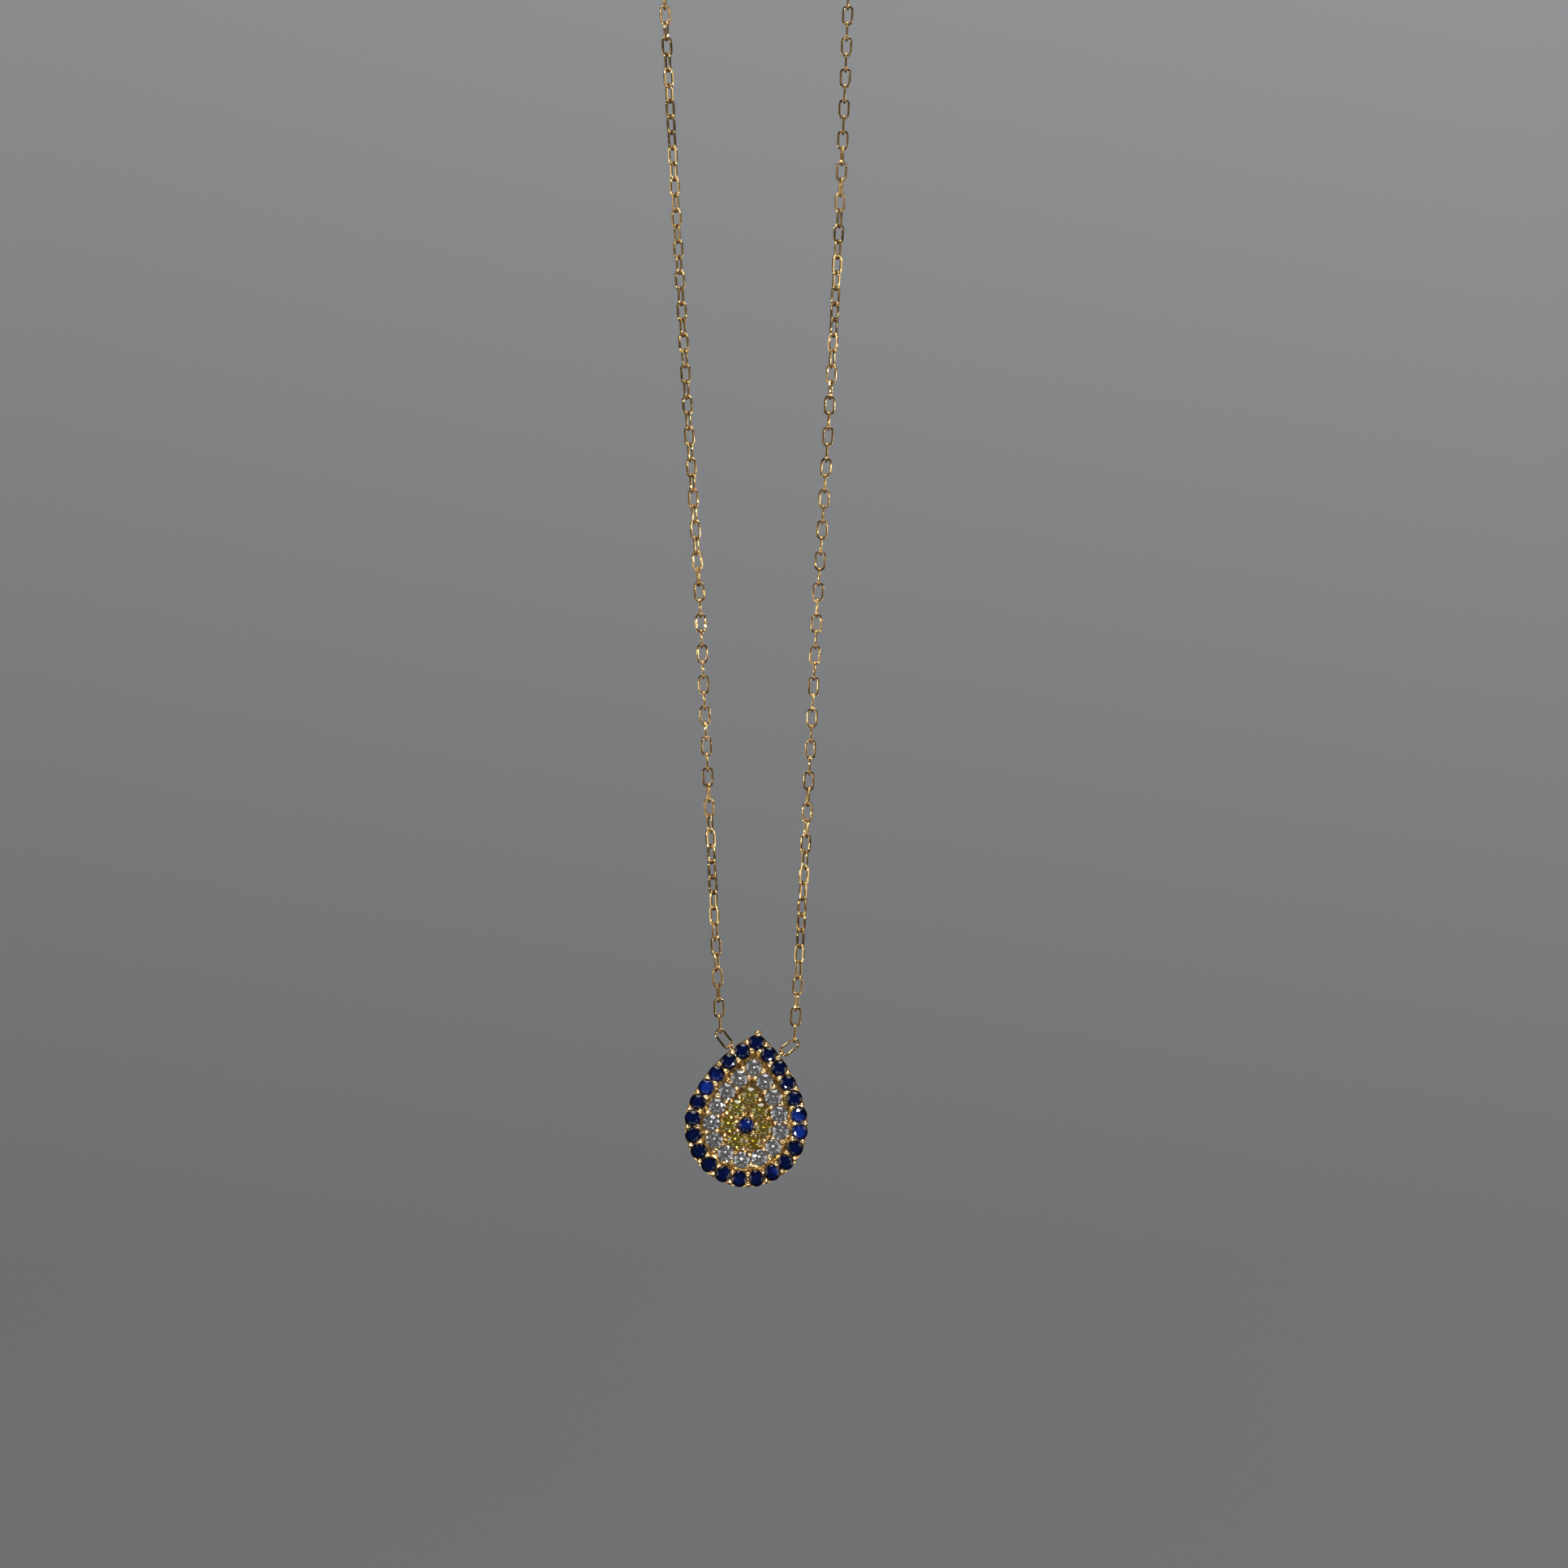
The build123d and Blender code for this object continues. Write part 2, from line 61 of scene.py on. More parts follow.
# Each strand's routes, in millimetres: three points down to the middle hinge and three more to the
# end link. The twist lists heights and the roll, in degrees, that the strand has reached there.
ROUTES = {
    "left": {
        "upper": ((-7.2, 0, 0), (-5.94, 0, -24.6), (-4.32, 0, -49.2)),
        "lower": ((-4.32, 0, -49.2), (-3.6, 0, -65.8), (-2.754, 0, -82.407)),
        "twist": (
            (0, 0), (-12.4, 45), (-17, 62), (-46, 68),
            (-49.2, 90), (-61.8, 92), (-69.3, 135), (-82.7, 180),
        ),
        "side": -1,
    },
    "right": {
        "upper": ((7.2, 0, 0), (6.405, 0, -24.6), (4.74, 0, -49.2)),
        "lower": ((4.74, 0, -49.2), (3.99, 0, -66.17), (2.957, 0, -83.135)),
        "twist": (
            (0, 0), (-12.4, 0), (-27.4, 45), (-34.3, 84),
            (-49.2, 90), (-62, 92), (-74.3, 135), (-83.3, 180),
        ),
        "side": 1,
    },
}
LINK_COUNTS = {"upper": 41, "lower": 28}

# ---- Clasp end -------------------------------------------------------------------------------
ARCH_RADIUS = 7.2 * MM       # the chain's line where it goes over the peg
LEFT_ARCH_LINKS = 6
RIGHT_ARCH_LINKS = 7
LEFT_ARCH_TWIST = 0          # degrees that the links turn, besides their quarter turns
RIGHT_ARCH_TWIST = 90
CLASP_Z = 7.25 * MM
CLASP_RADIUS = 2.15 * MM
CLASP_TUBE = 0.6 * MM
TONGUE_RADIUS = 0.36 * MM
EYELET_RADIUS = 0.45 * MM
EYELET_WIRE = 0.14 * MM
JUMP_RADIUS = 0.74 * MM
JUMP_WIRE = 0.13 * MM
END_RING_RADIUS = 0.75 * MM
END_RING_WIRE = 0.14 * MM
RING_GAP = 0.02 * MM
EYELET_SWELL = 0.4           # how much thicker the eyelet's wire is where it is soldered
RING_TURNS = 64              # faces round a ring
RING_SIDES = 20              # faces round a ring's wire

# ---- Pendant ---------------------------------------------------------------------------------
PENDANT = Vector((-0.75, -0.62, -89.65)) * MM
PENDANT_TILT = radians(7.3)
OUTLINE = (4.72, 7.14)       # round bottom's radius and height of the point, in millimetres
FLANK_START = radians(20)
DOME_RADIUS = 45.0
RIM_RING = (4.15, 6.42, 22)  # circle radius, apex height, number of stones
WHITE_RING = (2.68, 4.47, 14)
YELLOW_RING = (1.36, 2.32, 7)
CENTRE_RING = (0.8, 1.0, 7)  # this one has beads only
LUG_ANGLE = radians(45.2)    # round the flank's own centre
LUG_RADIUS = 0.36 * MM
LUG_WIRE = 0.092 * MM        # thinner than the CAD's, to clear the end link at the swing's limits
LUG_STANDOFF = 0.2 * MM      # the end link's wire stands this far off the plate's edge
LUG_GAP = 0.03 * MM
SOLDER_SWELL = 1.6           # how much thicker the lug's wire is where it is soldered

# ---- Beads, in millimetres -------------------------------------------------------------------
OUTER_BEAD_OFFSET = 0.37
INNER_BEAD_OFFSET = 0.43
TIP_BEAD_OFFSET = 0.06
BETWEEN_STONES = 0.5         # a bead stands this share of the way from one stone to the next
BEAD = (0.225, 0.23)         # half of a bead's width, and its height
SMALL_BEAD = (0.185, 0.19)
TIP_BEAD = (0.29, 0.28)
BEAD_FOOT = 2.2              # depth of a bead's foot, as a share of its height
BEAD_GROWTH = (0.96, 1.05)   # a bead's length is drawn from between these shares of its usual one
BEAD_TURN = 0.15             # radians that a bead may be turned either way
BEAD_SEED = 7
BEAD_TURNS = 20              # faces round a bead
BEAD_RINGS = 7               # faces from a bead's foot to its top


# ---- Small helpers ---------------------------------------------------------------------------
def add_mesh(name, vertices, faces, body):
    """A smooth mesh object that rides on a CAD body."""
    mesh = bpy.data.meshes.new(name)
    mesh.from_pydata(vertices, [], faces)
    mesh.update()
    mesh.shade_smooth()
    piece = bpy.data.objects.new(name, mesh)
    bpy.context.scene.collection.objects.link(piece)
    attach(piece, body)
    return piece


def grid_faces(rows, columns, close_rows=False):
    """Quads between rows of points, each row a closed ring. close_rows joins the last to the first."""
    faces = []
    for i in range(rows if close_rows else rows - 1):
        low = i * columns
        high = ((i + 1) % rows) * columns
        for j in range(columns):
            after = (j + 1) % columns
            faces.append((low + j, low + after, high + after, high + j))
    return faces


def frame_of(origin, x_axis, z_axis):
    """A matrix with the given origin, x axis and z axis."""
    x_axis = x_axis.normalized()
    z_axis = z_axis.normalized()
    y_axis = z_axis.cross(x_axis)
    turn = Matrix((x_axis, y_axis, z_axis)).transposed().to_4x4()
    return Matrix.Translation(origin) @ turn


# ---- Noises, in features per metre and detail ------------------------------------------------
GOLD_TONE = (900, 4)
GOLD_POLISH = (5000, 5)
HANDLING_MARKS = (9000, 6, (1, 1, 0.25))
TOOL_MARKS = (1700, 1.0)
STONE_TONE = (700, 2)
BLUE_STONE_TONE = (420, 1)
STONE_POLISH = (12000, 3)
STEEL_TONE = (4000, 4)
STEEL_POLISH = (8000, 4)

# ---- Stones ----------------------------------------------------------------------------------
BLUE_IOR = 1.77
BLUE_SPECULAR = 0.04         # far below a real stone's, so that the crowns stay dark
BLUE_TRANSMISSION = 0.6
CLEAR_IOR = 2.15
CLEAR_TRANSMISSION = 0.965
YELLOW_TRANSMISSION = 0.96


# ---- Materials -------------------------------------------------------------------------------
def new_material(name):
    """A material, its node tree and its shader."""
    material = bpy.data.materials.new(name)
    material.use_nodes = True
    shader = material.node_tree.nodes["Principled BSDF"]
    return material, material.node_tree, shader


def noise(tree, scale, detail=3.0, stretch=(1, 1, 1)):
    """Noise in the piece's own coordinates; scale is in features per metre."""
    place = tree.nodes.new("ShaderNodeTexCoord")
    mapping = tree.nodes.new("ShaderNodeMapping")
    mapping.inputs["Scale"].default_value = stretch
    texture = tree.nodes.new("ShaderNodeTexNoise")
    texture.inputs["Scale"].default_value = scale
    texture.inputs["Detail"].default_value = detail
    tree.links.new(place.outputs["Object"], mapping.inputs["Vector"])
    tree.links.new(mapping.outputs["Vector"], texture.inputs["Vector"])
    return texture.outputs["Fac"]


def ramp(tree, source, low, high, start=0.35, end=0.65):
    """Maps a number between start and end to one between low and high."""
    node = tree.nodes.new("ShaderNodeMapRange")
    node.inputs["From Min"].default_value = start
    node.inputs["From Max"].default_value = end
    node.inputs["To Min"].default_value = low
    node.inputs["To Max"].default_value = high
    tree.links.new(source, node.inputs["Value"])
    return node.outputs["Result"]


def colour_between(tree, source, first, second):
    """Mixes two colours, or two nodes' colours, by a number from 0 to 1."""
    node = tree.nodes.new("ShaderNodeMix")
    node.data_type = "RGBA"
    for socket, colour in ((node.inputs[6], first), (node.inputs[7], second)):
        if isinstance(colour, tuple):
            socket.default_value = (*colour, 1)
        else:
            tree.links.new(colour, socket)
    tree.links.new(source, node.inputs[0])
    return node.outputs[2]


def facing_front(tree, start, end):
    """1 on surfaces that look towards the pendant's own front, falling to 0 as they turn away."""
    place = tree.nodes.new("ShaderNodeTexCoord")
    parts = tree.nodes.new("ShaderNodeSeparateXYZ")
    tree.links.new(place.outputs["Normal"], parts.inputs["Vector"])
    return ramp(tree, parts.outputs["Y"], 1, 0, start, end)


def add_bump(tree, shader, source, distance, strength):
    """Small dents, from a noise."""
    bump = tree.nodes.new("ShaderNodeBump")
    bump.inputs["Distance"].default_value = distance
    bump.inputs["Strength"].default_value = strength
    tree.links.new(source, bump.inputs["Height"])
    tree.links.new(bump.outputs["Normal"], shader.inputs["Normal"])
    return bump


def gold(name, first, second, rough, marks, bump, front_only=False):
    """Polished yellow gold: two tones, cloudy polish, and marks of a given fineness and depth,
    which may be on the pendant's front only."""
    material, tree, shader = new_material(name)
    shader.inputs["Metallic"].default_value = 1.0
    tone = ramp(tree, noise(tree, *GOLD_TONE), 0, 1)
    tree.links.new(colour_between(tree, tone, first, second), shader.inputs["Base Color"])
    polish = ramp(tree, noise(tree, *GOLD_POLISH), *rough)
    tree.links.new(polish, shader.inputs["Roughness"])
    marked = add_bump(tree, shader, noise(tree, *marks), *bump)
    if front_only:
        tree.links.new(facing_front(tree, -0.9, -0.5), marked.inputs["Strength"])
    return material


def stone_material(name, colour, second, ior, transmission):
    """Cut stone: clear and highly refracting, with a slight change of tone from stone to stone."""
    material, tree, shader = new_material(name)
    tone = ramp(tree, noise(tree, *STONE_TONE), 0, 1)
    tree.links.new(colour_between(tree, tone, colour, second), shader.inputs["Base Color"])
    shader.inputs["IOR"].default_value = ior
    shader.inputs["Transmission Weight"].default_value = transmission
    polish = ramp(tree, noise(tree, *STONE_POLISH), 0.0, 0.03)
    tree.links.new(polish, shader.inputs["Roughness"])
    return material


def blue_stone():
    """Deep sapphire blue: nearly black round the crown, and brighter in a few stones. The facets that
    face the front are painted bluer, a painted glow for light that comes back out of the stone."""
    material, tree, shader = new_material("blue_stone")
    # painted light: facets that face the pendant's front get a bluer colour, standing in for light
    # coming back out through the stone's top
    painted_table_glow = facing_front(tree, -0.99, -0.82)
    stone = ramp(tree, noise(tree, *BLUE_STONE_TONE), 0, 1, 0.56, 0.66)
    dull = colour_between(tree, painted_table_glow, (0.001, 0.002, 0.015), (0.001, 0.006, 0.06))
    bright = colour_between(tree, painted_table_glow, (0.003, 0.010, 0.11), (0.007, 0.035, 0.32))
    tree.links.new(colour_between(tree, stone, dull, bright), shader.inputs["Base Color"])
    shader.inputs["IOR"].default_value = BLUE_IOR
    shader.inputs["Specular IOR Level"].default_value = BLUE_SPECULAR
    shader.inputs["Transmission Weight"].default_value = BLUE_TRANSMISSION
    polish = ramp(tree, noise(tree, *STONE_POLISH), 0.02, 0.06)
    tree.links.new(polish, shader.inputs["Roughness"])
    return material


def steel():
    """Grey spring steel, brushed to a soft shine."""
    material, tree, shader = new_material("spring_steel")
    shader.inputs["Metallic"].default_value = 1.0
    tone = ramp(tree, noise(tree, *STEEL_TONE), 0, 1)
    colour = colour_between(tree, tone, (0.5, 0.5, 0.52), (0.62, 0.62, 0.63))
    tree.links.new(colour, shader.inputs["Base Color"])
    polish = ramp(tree, noise(tree, *STEEL_POLISH), 0.25, 0.4)
    tree.links.new(polish, shader.inputs["Roughness"])
    return material


GOLD = gold("polished_gold", (0.92, 0.66, 0.32), (0.84, 0.56, 0.24),
            (0.06, 0.16), HANDLING_MARKS, (0.01 * MM, 0.12))
CHAIN_GOLD = gold("chain_gold", (0.80, 0.55, 0.25), (0.66, 0.42, 0.17),
                  (0.08, 0.18), HANDLING_MARKS, (0.01 * MM, 0.2))
PLATE_GOLD = gold("bright_cut_gold", (0.94, 0.60, 0.22), (0.84, 0.46, 0.12),
                  (0.14, 0.28), TOOL_MARKS, (0.12 * MM, 1.0), front_only=True)
BLUE = blue_stone()
WHITE = stone_material("clear_stone", (1.0, 1.0, 1.0), (0.94, 0.95, 0.98),
                       CLEAR_IOR, CLEAR_TRANSMISSION)
YELLOW = stone_material("yellow_stone", (0.98, 0.88, 0.18), (0.96, 0.62, 0.05),
                        CLEAR_IOR, YELLOW_TRANSMISSION)
STEEL = steel()


def wear(piece, material):
    """Gives a piece its material."""
    piece.data.materials.clear()
    piece.data.materials.append(material)


# ---- Camera ----------------------------------------------------------------------------------
def make_camera():
    """A long lens that looks straight along +Y and sees VIEW_WIDTH of the strands' plane."""
    data = bpy.data.cameras.new("camera")
    data.lens = LENS
    data.sensor_width = SENSOR
    data.clip_start = NEAREST
    camera = bpy.data.objects.new("camera", data)
    distance = VIEW_WIDTH * LENS / SENSOR
    camera.location = (VIEW_X, -distance, VIEW_Z)
    camera.rotation_euler = (pi / 2, 0, 0)
    bpy.context.scene.collection.objects.link(camera)
    bpy.context.scene.camera = camera


# ---- Links and strands -----------------------------------------------------------------------
def wire_section():
    """The wire's outline: four cut facets joined by round corners. Marks which sides are cut."""
    corner = (90 - 2 * FLAT_HALF_ANGLE) / CORNER_STEPS
    points = []
    cut = []
    for quarter in range(4):
        start = quarter * 90 + FLAT_HALF_ANGLE
        for step in range(CORNER_STEPS + 1):
            angle = radians(start + step * corner)
            points.append((WIRE * cos(angle), WIRE * sin(angle)))
            cut.append(step == CORNER_STEPS)
    return points, cut


def link_shape(inner):
    """Points and faces of a link in its own XY plane, long way along Y, and which faces are cut."""
    half = inner / 2 + WIRE - BOW
    section, cut = wire_section()
    stations = []
    for end in (1, -1):
        for step in range(BOW_STEPS + 1):
            angle = pi * step / BOW_STEPS + (0 if end == 1 else pi)
            stations.append((angle, end * half))
    points = []
    for angle, shift in stations:
        for out, up in section:
            reach = BOW + out
            points.append(Vector((reach * cos(angle), shift + reach * sin(angle), up)))
    faces = grid_faces(len(stations), len(section), close_rows=True)
    return points, faces, cut * len(stations)


def build_links(name, body, places, inner):
    """One mesh of links, each with its cut facets flat and its corners round."""
    shape, faces, cut = link_shape(inner)
    vertices = []
    all_faces = []
    for place in places:
        first = len(vertices)
        vertices += [place @ point for point in shape]
        all_faces += [tuple(first + i for i in face) for face in faces]
    piece = add_mesh(name, vertices, all_faces, body)
    for face in piece.data.polygons:
        face.use_smooth = not cut[face.index % len(cut)]
    wear(piece, CHAIN_GOLD)
    return piece


def link_place(start, end, roll):
    """Puts a link between two contacts. At no roll it lies in the XZ plane."""
    along = (start - end).normalized()
    face_on = Vector((0, -1, 0))
    turn = Matrix.Rotation(radians(roll), 3, along)
    sideways = turn @ along.cross(face_on).normalized()
    return frame_of((start + end) / 2, sideways, turn @ face_on)


def curve_line(name, points):
    """Points along the smooth curve that a route's points control."""
    curve = bpy.data.curves.new(name, "CURVE")
    curve.dimensions = "3D"
    curve.resolution_u = ROUTE_STEPS
    spline = curve.splines.new("NURBS")
    spline.points.add(len(points) - 1)
    for control, point in zip(spline.points, points):
        control.co = (*[value * MM for value in point], 1)
    spline.use_endpoint_u = True
    spline.order_u = 3
    holder = bpy.data.objects.new(name, curve)
    line = [vertex.co.copy() for vertex in bpy.data.meshes.new_from_object(holder).vertices]
    bpy.data.objects.remove(holder)
    return line


def line_length(line):
    return sum((b - a).length for a, b in zip(line, line[1:]))


def along_line(line, count):
    """count + 1 points, evenly spaced along a line."""
    step = line_length(line) / count
    points = [line[0]]
    travelled = 0.0
    for a, b in zip(line, line[1:]):
        part = (b - a).length
        while travelled + part >= step * len(points) and len(points) < count:
            fraction = (step * len(points) - travelled) / part
            points.append(a.lerp(b, fraction))
        travelled += part
    return points + [line[-1]]


def roll_at(height, twist):
    """The extra roll at a height, by straight lines between the listed heights."""
    for (high, roll_high), (low, roll_low) in zip(twist, twist[1:]):
        if height >= low:
            return roll_high + (roll_low - roll_high) * (high - height) / (high - low)
    return twist[-1][1]


def strand_length(name, part):
    """One length of chain: a link between each contact and the next, on the route's curve."""
    route = ROUTES[name]
    node = f"{name}_chain_{part}"
    line = curve_line(node + "_route", route[part])
    contacts = along_line(line, LINK_COUNTS[part])
    first_roll = roll_at(contacts[0].z / MM, route["twist"])
    places = []
    for i, (start, end) in enumerate(zip(contacts, contacts[1:])):
        middle = (start.z + end.z) / 2 / MM
        roll = roll_at(middle, route["twist"]) - first_roll + 90 * (i + 1)
        places.append(link_place(start, end, roll))
    piece = build_links(node + "_links", f"{name}_{part}", places, LINK_INNER)
    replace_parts(piece, node)
    return piece, line


# ---- Pendant geometry ------------------------------------------------------------------------
def flank(radius, apex):
    """Radius and centre of the right flank, tangent to the round bottom and reaching the apex."""
    reach = (apex**2 - radius**2) / (2 * (radius - apex * sin(FLANK_START)))
    return radius + reach, -reach * cos(FLANK_START), -reach * sin(FLANK_START)


def teardrop_point(radius, apex, fraction, offset=0.0):
    """A point on the teardrop, a fraction of the way round from the apex, moved outwards by offset,
    and the outward direction's angle."""
    flank_radius, centre_x, centre_y = flank(radius, apex)
    apex_angle = atan2(apex - centre_y, -centre_x)
    flank_length = flank_radius * (apex_angle - FLANK_START)
    total = 2 * flank_length + radius * (pi + 2 * FLANK_START)
    travel = (fraction % 1.0) * total
    mirrored = travel > total / 2
    if mirrored:
        travel = total - travel
    if travel < flank_length:
        angle = apex_angle - travel / flank_radius
        reach = flank_radius + offset
        x, y = centre_x + reach * cos(angle), centre_y + reach * sin(angle)
    else:
        angle = FLANK_START - (travel - flank_length) / radius
        x, y = (radius + offset) * cos(angle), (radius + offset) * sin(angle)
    return (-x, y, pi - angle) if mirrored else (x, y, angle)


def pendant_matrix():
    """Carries the pendant's own drawing plane into the hanging place."""
    right = Vector((cos(PENDANT_TILT), 0, -sin(PENDANT_TILT)))
    return frame_of(PENDANT, right, Vector((0, -1, 0)))


def dome_matrix(x, y, turn):
    """The place on the stones' sphere over a point, +Z along its normal, +X turned to an angle."""
    height = sqrt(DOME_RADIUS**2 - x**2 - y**2)
    normal = Vector((x, y, height)).normalized()
    forward = Vector((cos(turn), sin(turn), 0))
    forward = (forward - forward.dot(normal) * normal).normalized()
    return pendant_matrix() @ frame_of(Vector((x, y, height - DOME_RADIUS)) * MM, forward, normal)


def bead_shape(width, length, height):
    """A polished grain: a dome on a short foot, drawn out to a point along +X. Its width and length
    are given from its middle."""
    points = []
    for ring in range(BEAD_RINGS + 1):
        if ring == 0:
            level, size = -BEAD_FOOT * height, 1.0
        else:
            angle = (pi / 2) * (ring - 1) / BEAD_RINGS
            level, size = height * sin(angle), cos(angle)
        for step in range(BEAD_TURNS):
            angle = 2 * pi * step / BEAD_TURNS
            reach = width + (length - width) * max(0.0, cos(angle)) ** 3
            point = Vector((size * reach * cos(angle), size * width * sin(angle), level))
            points.append(point * MM)
    points.append(Vector((0, 0, height * MM)))
    faces = grid_faces(BEAD_RINGS + 1, BEAD_TURNS)
    last = BEAD_RINGS * BEAD_TURNS
    for step in range(BEAD_TURNS):
        faces.append((last + step, last + (step + 1) % BEAD_TURNS, len(points) - 1))
    return points, faces


def bead_rings():
    """Each ring of beads: its ring of stones, offset, size, half length and which way it points."""
    outwards = 0
    inwards = pi
    return (
        (RIM_RING, OUTER_BEAD_OFFSET, BEAD, 0.25, inwards),
        (RIM_RING, -INNER_BEAD_OFFSET, BEAD, 0.36, outwards),
        (WHITE_RING, INNER_BEAD_OFFSET, BEAD, 0.36, inwards),
        (WHITE_RING, -INNER_BEAD_OFFSET, SMALL_BEAD, 0.24, outwards),
        (YELLOW_RING, INNER_BEAD_OFFSET, SMALL_BEAD, 0.24, inwards),
        (CENTRE_RING, 0.0, SMALL_BEAD, 0.22, inwards),
    )


def make_beads():
    """The polished beads that hold the stones, standing over the plate's plain ones."""
    vertices = []
    faces = []

    def add(shape, place):
        first = len(vertices)
        vertices.extend(place @ point for point in shape[0])
        faces.extend(tuple(first + i for i in face) for face in shape[1])

    draw = random.Random(BEAD_SEED)
    for (radius, apex, count), offset, (width, height), length, point_way in bead_rings():
        for i in range(count):
            fraction = (i + BETWEEN_STONES) / count
            x, y, outward = teardrop_point(radius, apex, fraction, offset)
            grow = draw.uniform(*BEAD_GROWTH)
            shape = bead_shape(width, length * grow, height)
            turn = draw.uniform(-BEAD_TURN, BEAD_TURN)
            add(shape, dome_matrix(x, y, outward + point_way + turn))
    width, height = TIP_BEAD
    add(bead_shape(width, width, height), dome_matrix(0, OUTLINE[1] - TIP_BEAD_OFFSET, pi / 2))
    beads = add_mesh("holding_beads", vertices, faces, "pendant")
    wear(beads, GOLD)


# ---- Lugs and rings --------------------------------------------------------------------------
def ring(name, body, centre, x_axis, z_axis, radius, wire, swell=0.0):
    """A wire ring. Its wire swells smoothly to its thickest at -X, where it is soldered."""
    place = frame_of(centre, x_axis, z_axis)
    vertices = []
    for i in range(RING_TURNS):
        angle = 2 * pi * i / RING_TURNS
        thick = wire * (1 + swell * max(0.0, -cos(angle)) ** 2)
        for j in range(RING_SIDES):
            round_wire = 2 * pi * j / RING_SIDES
            reach = radius + thick * cos(round_wire)
            point = Vector((reach * cos(angle), reach * sin(angle), thick * sin(round_wire)))
            vertices.append(place @ point)
    piece = add_mesh(name, vertices, grid_faces(RING_TURNS, RING_SIDES, close_rows=True), body)
    wear(piece, GOLD)
    return piece


def lug_wire_place(side):
    """Where an end link's wire runs through its lug, and the outward direction there."""
    flank_radius, centre_x, centre_y = flank(*OUTLINE)
    reach = flank_radius + LUG_STANDOFF / MM
    x = side * (centre_x + reach * cos(LUG_ANGLE))
    y = centre_y + reach * sin(LUG_ANGLE)
    local = Vector((x, y, 0)) * MM
    local.z = PENDANT.y
    outward = Vector((side * cos(LUG_ANGLE), sin(LUG_ANGLE), 0))
    place = pendant_matrix()
    return place @ local, place.to_3x3() @ outward


def make_lug(name, side):
    """The ring soldered to the plate's edge, and the link that swings in it."""
    wire_place, outward = lug_wire_place(side)
    centre = wire_place - outward * (LUG_RADIUS - LUG_WIRE - WIRE - LUG_GAP)
    across = outward.cross(Vector((0, 1, 0)))
    lug = ring(f"{name}_lug_ring", "pendant", centre, outward, across,
               LUG_RADIUS, LUG_WIRE, SOLDER_SWELL)
    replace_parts(lug, f"{name}_lug")
    low = wire_place + outward * WIRE
    high = low + outward * END_LINK_INNER
    body = f"{name}_lower"
    place = link_place(high, low, 0)
    end_link = build_links(f"{name}_end_link_wire", body, [place], END_LINK_INNER)
    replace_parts(end_link, f"{name}_end_link")
    return end_link


# ---- Clasp end -------------------------------------------------------------------------------
def tangent_to_arch(point, side):
    """Unit direction from a point to where a taut chain meets the arch, and how far that is."""
    distance = hypot(point.x, point.z)
    angle = atan2(-point.z, -point.x) + side * asin(ARCH_RADIUS / distance)
    return Vector((cos(angle), 0, sin(angle))), sqrt(distance**2 - ARCH_RADIUS**2)


def arch_contacts(ring_end, direction, run, side, count):
    """Contacts from a ring, along the tangent, then down the arch to the strand's top."""
    touch = ring_end + direction * run
    touch_angle = acos(abs(touch.x) / ARCH_RADIUS)
    total = run + ARCH_RADIUS * touch_angle
    points = []
    for i in range(count + 1):
        travel = total * i / count
        if travel < run:
            points.append(ring_end + direction * travel)
        else:
            angle = touch_angle - (travel - run) / ARCH_RADIUS
            points.append(Vector((side * cos(angle), 0, sin(angle))) * ARCH_RADIUS)
    return points


def ring_and_arch(ring_node, chain_node, pivot, bar, radius, wire, side, count, twist):
    """A ring round a bar at pivot, and the links from that ring down to the strand's top."""
    direction, reach = tangent_to_arch(pivot, side)
    centre = pivot + direction * (radius - wire - bar - RING_GAP)
    loop = ring(f"{ring_node}_wire", "root", centre, direction, Vector((0, 1, 0)), radius, wire)
    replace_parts(loop, ring_node)
    ring_end = centre + direction * (radius - wire)
    run = reach - (ring_end - pivot).length
    contacts = arch_contacts(ring_end, direction, run, side, count)
    places = []
    for i, (start, end) in enumerate(zip(contacts, contacts[1:])):
        places.append(link_place(start, end, 90 * (i + 1) + twist * i / (count - 1)))
    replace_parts(build_links(f"{chain_node}_links", "root", places, LINK_INNER), chain_node)


def make_top():
    """The eyelet soldered to the clasp, and a ring and some links on both sides of the clasp."""
    eyelet = Vector((-(CLASP_RADIUS + CLASP_TUBE + EYELET_RADIUS - EYELET_WIRE), 0, CLASP_Z))
    loop = ring("clasp_eyelet_wire", "root", eyelet, Vector((-1, 0, 0)), Vector((0, 0, 1)),
                EYELET_RADIUS, EYELET_WIRE, EYELET_SWELL)
    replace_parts(loop, "clasp_eyelet")
    eyelet_bar = eyelet - Vector((EYELET_RADIUS, 0, 0))
    tongue = Vector((CLASP_RADIUS, 0, CLASP_Z))
    ring_and_arch("jump_ring", "left_chain_top", eyelet_bar, EYELET_WIRE,
                  JUMP_RADIUS, JUMP_WIRE, -1, LEFT_ARCH_LINKS, LEFT_ARCH_TWIST)
    ring_and_arch("end_ring", "right_chain_top", tongue, TONGUE_RADIUS,
                  END_RING_RADIUS, END_RING_WIRE, 1, RIGHT_ARCH_LINKS, RIGHT_ARCH_TWIST)


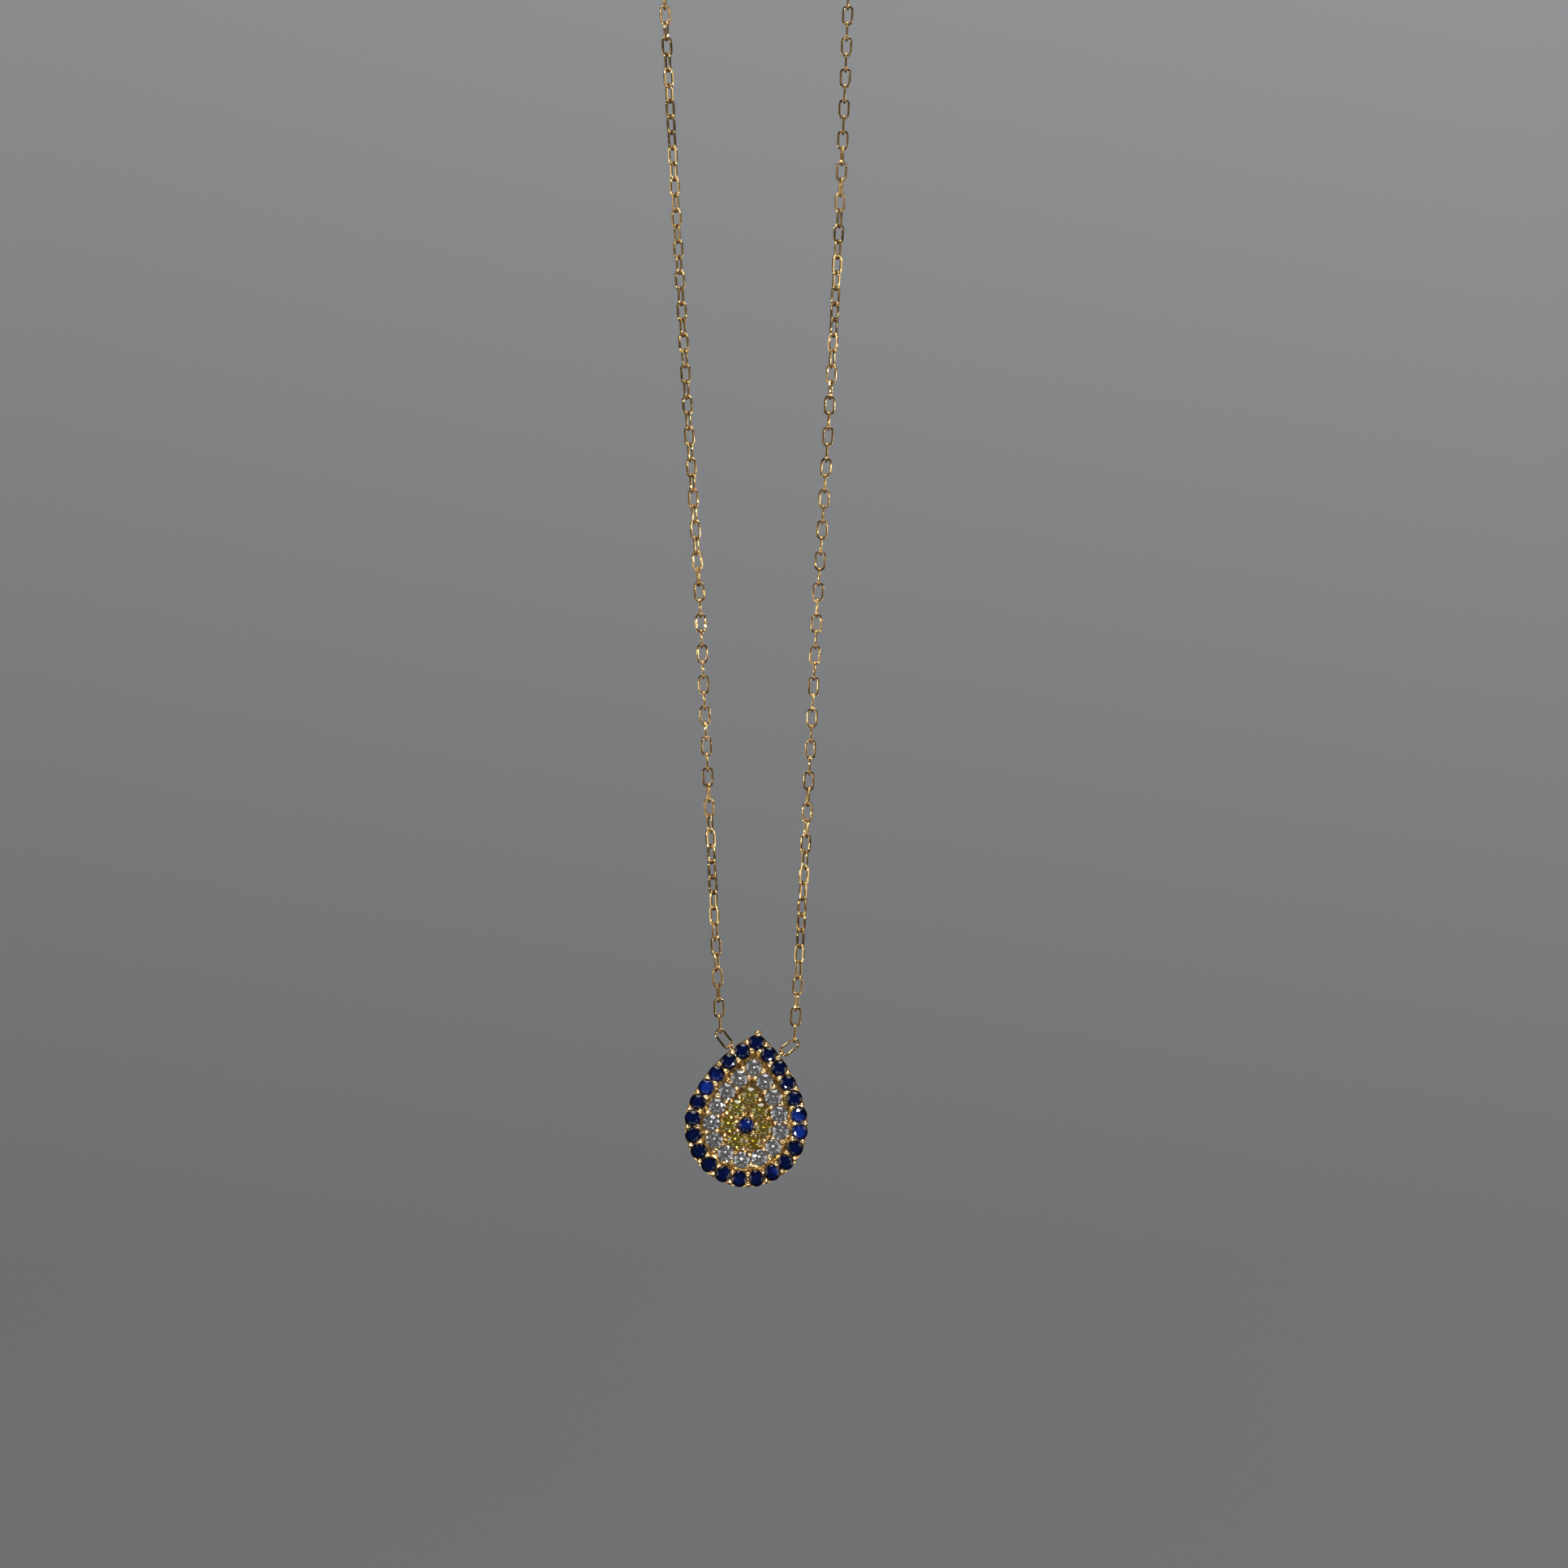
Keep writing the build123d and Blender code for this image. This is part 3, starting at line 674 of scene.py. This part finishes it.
# ---- Stage -----------------------------------------------------------------------------------
COVE_RADIUS = 1.5
COVE_BEND = 0.6              # radius of the bend from the floor up into the wall
COVE_BEND_STEPS = 12
COVE_TURNS = 96
COVE_HOLE = 0.001            # radius of the floor's innermost ring
COVE_COLOUR = (0.04, 0.04, 0.04)
COVE_ROUGHNESS = 0.95
COVE_FLOOR = -0.26
COVE_FLAT = 0.45             # radius of the floor's inner disc
COVE_TOP = 1.6
# painted light: the cove glows grey in place of being lit, painted brighter higher up and towards +X
GLOW_LOW = (0.148, 0.151, 0.154)
GLOW_HIGH = (0.264, 0.269, 0.275)
GLOW_HEIGHTS = (-0.22, 0.28)  # the glow goes from low to high between these heights
GLOW_SIDES = (-0.3, 0.3)     # and is multiplied, between these places along X,
GLOW_SHARES = (0.93, 1.06)   # by a number that goes from the first to the second
SOFTBOXES = (                # name, place, size and power
    ("top", (0.02, -0.08, 0.30), (0.3, 0.2), 0.7),
    ("left", (-0.36, -0.16, -0.02), (0.12, 0.36), 0.18),
    ("right", (0.38, -0.14, -0.06), (0.12, 0.36), 0.18),
    ("low", (0.0, -0.2, -0.24), (0.3, 0.1), 0.1),
    ("back", (0.0, 0.35, 0.25), (0.5, 0.3), 0.25),
    ("back_left", (-0.30, 0.30, -0.15), (0.25, 0.35), 0.14),
    ("back_right", (0.30, 0.30, -0.15), (0.25, 0.35), 0.14),
)
LAMP_COUNT = 9               # small lamps in a ring in front of the necklace
LAMP_START = 0.3             # where the first lamp stands, as a share of the gap between two
LAMP_RING = 0.22
LAMP_Y = -0.30
LAMP_SIZE = 0.018
LAMP_POWER = 0.22
WORLD_LIGHT = 0.035
WORLD_COLOUR = (0.80, 0.80, 0.82)
LIT_HEIGHT = -0.07           # every light faces the Z axis at this height


def cove_material():
    """Nearly black, with a painted grey glow that stands in for the studio light on it: painted
    brighter higher up, and a little towards +X.
    """
    material, tree, shader = new_material("painted_glow_cove")
    place = tree.nodes.new("ShaderNodeTexCoord")
    parts = tree.nodes.new("ShaderNodeSeparateXYZ")
    tree.links.new(place.outputs["Object"], parts.inputs["Vector"])
    # painted light: a grey glow, brighter higher up and a little towards +X, stands in for the light
    # on the cove
    height = ramp(tree, parts.outputs["Z"], 0, 1, *GLOW_HEIGHTS)
    across = ramp(tree, parts.outputs["X"], *GLOW_SHARES, *GLOW_SIDES)
    glow = colour_between(tree, height, GLOW_LOW, GLOW_HIGH)
    tree.links.new(glow, shader.inputs["Emission Color"])
    tree.links.new(across, shader.inputs["Emission Strength"])
    shader.inputs["Base Color"].default_value = (*COVE_COLOUR, 1)
    shader.inputs["Roughness"].default_value = COVE_ROUGHNESS
    return material


def make_cove():
    """A floor that curves up into a round wall. It is hidden from reflections and refractions, so
    that the dark parts of the gold and the stones stay dark, and it casts no shadow."""
    profile = [(COVE_HOLE, COVE_FLOOR), (COVE_FLAT, COVE_FLOOR)]
    for step in range(COVE_BEND_STEPS + 1):
        angle = pi / 2 * step / COVE_BEND_STEPS
        profile.append((COVE_RADIUS - COVE_BEND + COVE_BEND * sin(angle),
                        COVE_FLOOR + COVE_BEND - COVE_BEND * cos(angle)))
    profile.append((COVE_RADIUS, COVE_TOP))
    vertices = []
    for radius, height in profile:
        for step in range(COVE_TURNS):
            angle = 2 * pi * step / COVE_TURNS
            vertices.append((radius * cos(angle), radius * sin(angle), height))
    mesh = bpy.data.meshes.new("cove")
    mesh.from_pydata(vertices, [], grid_faces(len(profile), COVE_TURNS))
    mesh.shade_smooth()
    cove = bpy.data.objects.new("cove", mesh)
    bpy.context.scene.collection.objects.link(cove)
    mesh.materials.append(cove_material())
    cove.visible_glossy = False
    cove.visible_transmission = False
    cove.visible_shadow = False


def area_light(name, place, size, power):
    """A soft light, hidden from the camera, that faces a point low on the necklace."""
    data = bpy.data.lights.new(name, "AREA")
    data.shape = "RECTANGLE"
    data.size, data.size_y = size
    data.energy = power
    light = bpy.data.objects.new(name, data)
    light.location = place
    towards = Vector((0, 0, LIT_HEIGHT)) - Vector(place)
    light.rotation_euler = towards.to_track_quat("-Z", "Y").to_euler()
    light.visible_camera = False
    bpy.context.scene.collection.objects.link(light)


def make_lights():
    """Softboxes all round, and the ring of small lamps for glints on the stones and links."""
    for name, place, size, power in SOFTBOXES:
        area_light(f"{name}_softbox", place, size, power)
    for i in range(LAMP_COUNT):
        angle = 2 * pi * (i + LAMP_START) / LAMP_COUNT
        place = (LAMP_RING * cos(angle), LAMP_Y, LIT_HEIGHT + LAMP_RING * sin(angle))
        area_light(f"small_lamp_{i}", place, (LAMP_SIZE, LAMP_SIZE), LAMP_POWER)


def make_world():
    """Dim soft light from all round."""
    world = bpy.data.worlds.new("studio")
    world.use_nodes = True
    background = world.node_tree.nodes["Background"]
    background.inputs["Color"].default_value = (*WORLD_COLOUR, 1)
    background.inputs["Strength"].default_value = WORLD_LIGHT
    bpy.context.scene.world = world


# ---- Assembly --------------------------------------------------------------------------------
def make_strands():
    """Both strands, each as an upper and a lower length of chain, and the lugs that they end in."""
    for name, route in ROUTES.items():
        end_link = make_lug(name, route["side"])
        for part in ("upper", "lower"):
            piece, line = strand_length(name, part)


def finish_cad_nodes():
    """Materials for the CAD pieces that show as they are."""
    special = {
        "rim_stones_blue": (BLUE, "blue_stone"),
        "centre_stone_blue": (BLUE, "blue_stone"),
        "ring_stones_white": (WHITE, "clear_stone"),
        "ring_stones_yellow": (YELLOW, "yellow_stone"),
        "clasp_spring": (STEEL, "spring_steel"),
        "setting_plate": (PLATE_GOLD, "gold"),
    }
    for name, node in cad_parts.items():
        material, slot = special.get(name, (GOLD, "gold"))
        wear(node, material)


make_camera()
make_strands()
make_top()
finish_cad_nodes()
make_beads()
make_cove()
make_lights()
make_world()
bpy.context.scene.view_settings.view_transform = "Standard"
